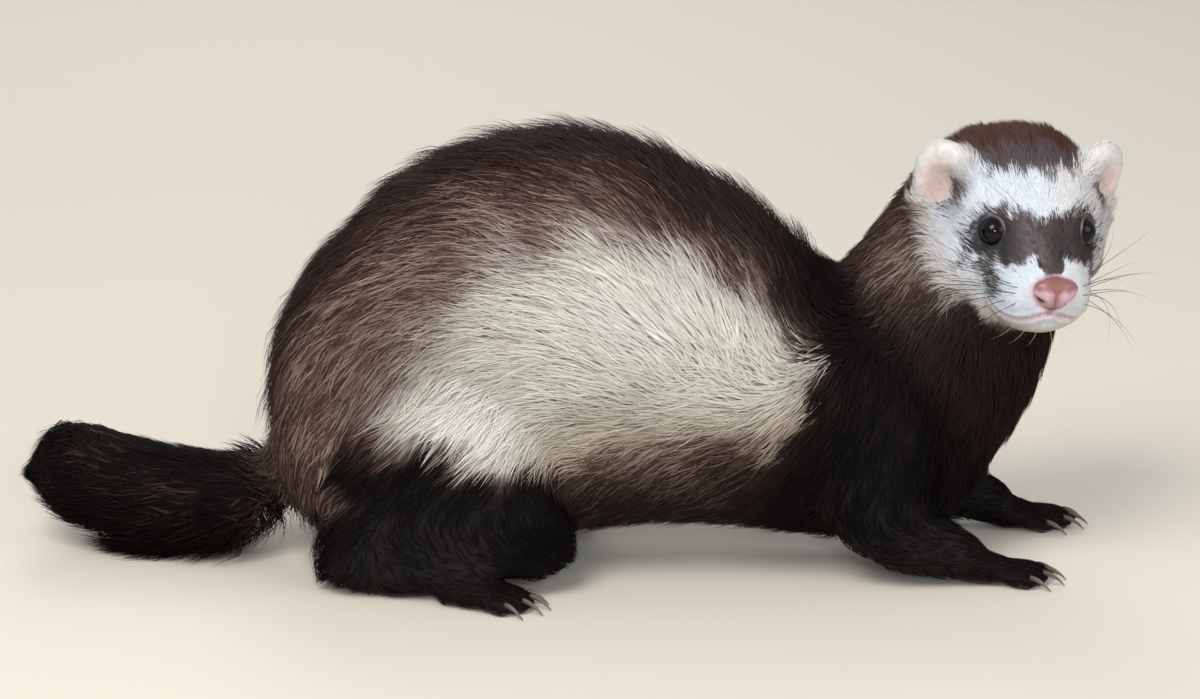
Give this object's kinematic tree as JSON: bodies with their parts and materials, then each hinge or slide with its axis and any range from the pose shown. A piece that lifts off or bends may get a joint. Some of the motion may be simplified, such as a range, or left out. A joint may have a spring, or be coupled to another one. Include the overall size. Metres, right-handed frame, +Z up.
{
  "type": "ferret",
  "caption": "Life-size still model of a sable ferret standing low with its back arched and its head turned to its right.",
  "frame": {"origin": "centre of the bounding box at floor level, where the paws and tail rest", "axes": "+X towards the chest and head, +Z up, +Y towards the animal's left side"},
  "size_m": [0.336, 0.1136, 0.1327],
  "materials": {
    "pale_coat": "soft fur, cream underfur with sparse dark brown guard hairs",
    "dark_coat": "soft fur, near-black brown",
    "face_coat": "short soft fur, white with a brown mask",
    "ear": "short white fur over pink skin",
    "nose_skin": "moist, finely pebbled bare skin",
    "eye": "wet gloss, nearly black",
    "claw": "pale translucent horn"
  },
  "bodies": {
    "root": {"torso": "pale_coat", "neck": "dark_coat", "head": "face_coat", "ear_left": "ear", "ear_right": "ear", "eye_left": "eye", "eye_right": "eye", "nose": "nose_skin", "tail": "dark_coat", "foreleg_left": "dark_coat", "foreleg_right": "dark_coat", "hindleg_left": "dark_coat", "hindleg_right": "dark_coat", "forepaw_left": "dark_coat", "forepaw_right": "dark_coat", "hindpaw_left": "dark_coat", "hindpaw_right": "dark_coat"}
  },
  "joints": []
}
